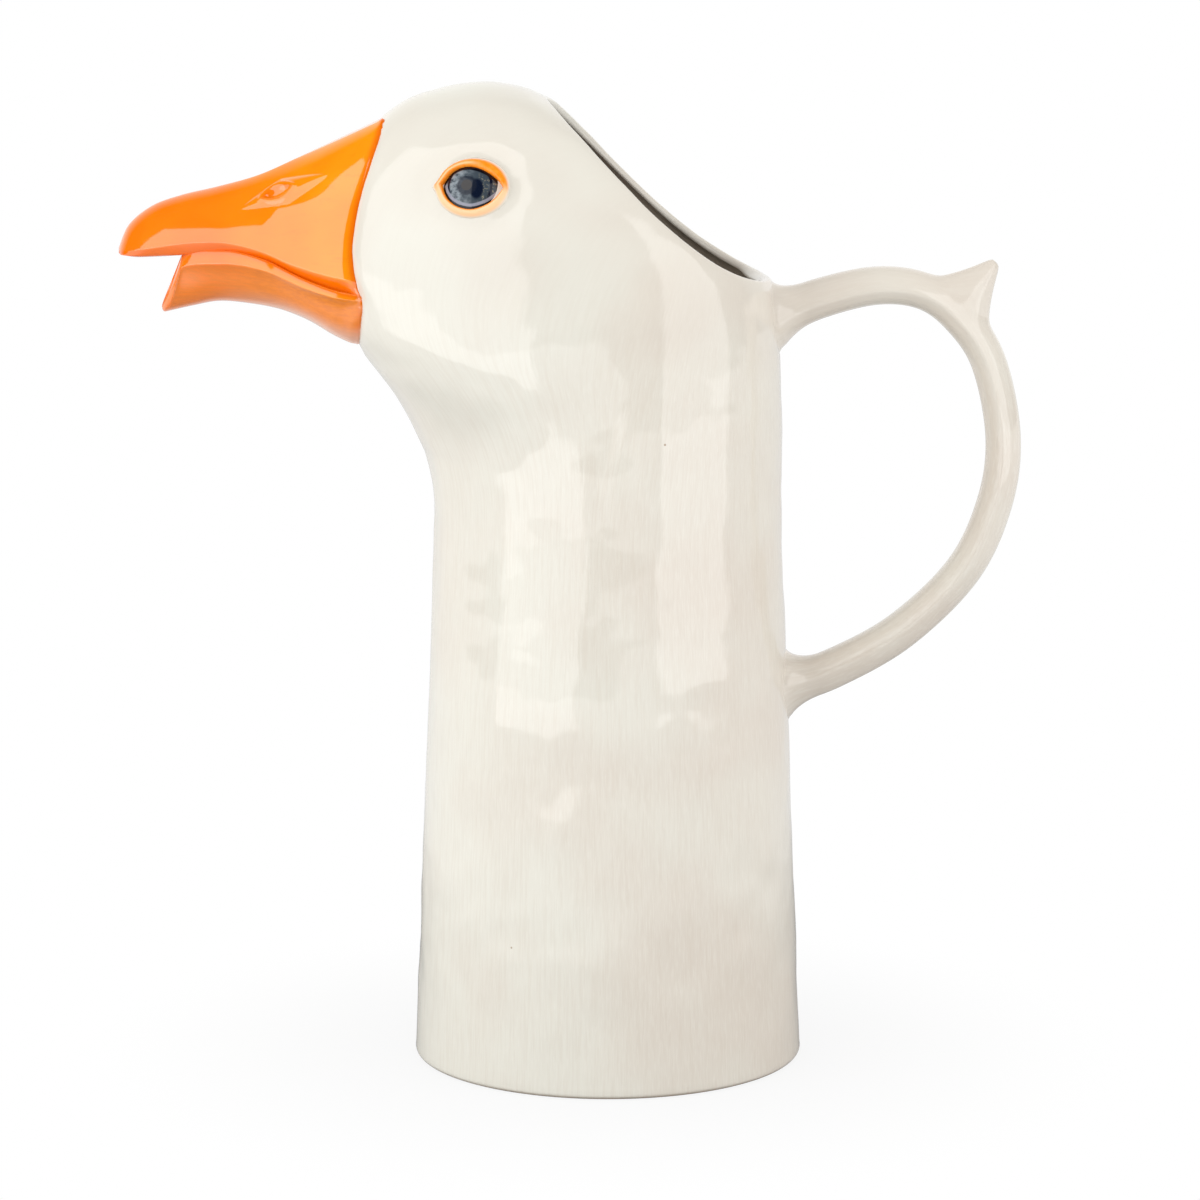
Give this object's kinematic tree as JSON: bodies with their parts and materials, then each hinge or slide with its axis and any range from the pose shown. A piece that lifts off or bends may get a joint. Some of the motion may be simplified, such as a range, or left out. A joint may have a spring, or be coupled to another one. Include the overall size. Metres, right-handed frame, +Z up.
{
  "type": "goose jug",
  "caption": "Glazed ceramic jug shaped as a goose's neck and head: the bill is the spout, the mouth slants down behind the crown, and a looped handle has a thumb spur.",
  "frame": {"origin": "centre of the round foot's flat underside, where the jug stands", "axes": "+Z up, -X towards the tip of the bill, +X towards the handle, -Y towards the goose's left side"},
  "size_m": [0.2244, 0.098, 0.2452],
  "materials": {
    "white_glaze": "gloss, creamy white with fine brush lines",
    "orange_glaze": "gloss, bright orange",
    "peach_glaze": "gloss, peach to orange",
    "slate_glaze": "gloss, slate blue painted with black and grey",
    "bare_clay": "matt, unglazed underside"
  },
  "bodies": {
    "root": {"base_floor": "bare_clay", "neck_wall": "white_glaze", "head_shell": "white_glaze", "upper_bill": "orange_glaze", "lower_bill": "orange_glaze", "left_eye": "slate_glaze", "right_eye": "slate_glaze", "left_eyelid": "peach_glaze", "right_eyelid": "peach_glaze", "left_nostril": "orange_glaze", "right_nostril": "orange_glaze", "handle_strap": "white_glaze", "thumb_spur": "white_glaze", "upper_luting_coil": "white_glaze", "lower_luting_coil": "white_glaze"}
  },
  "joints": []
}
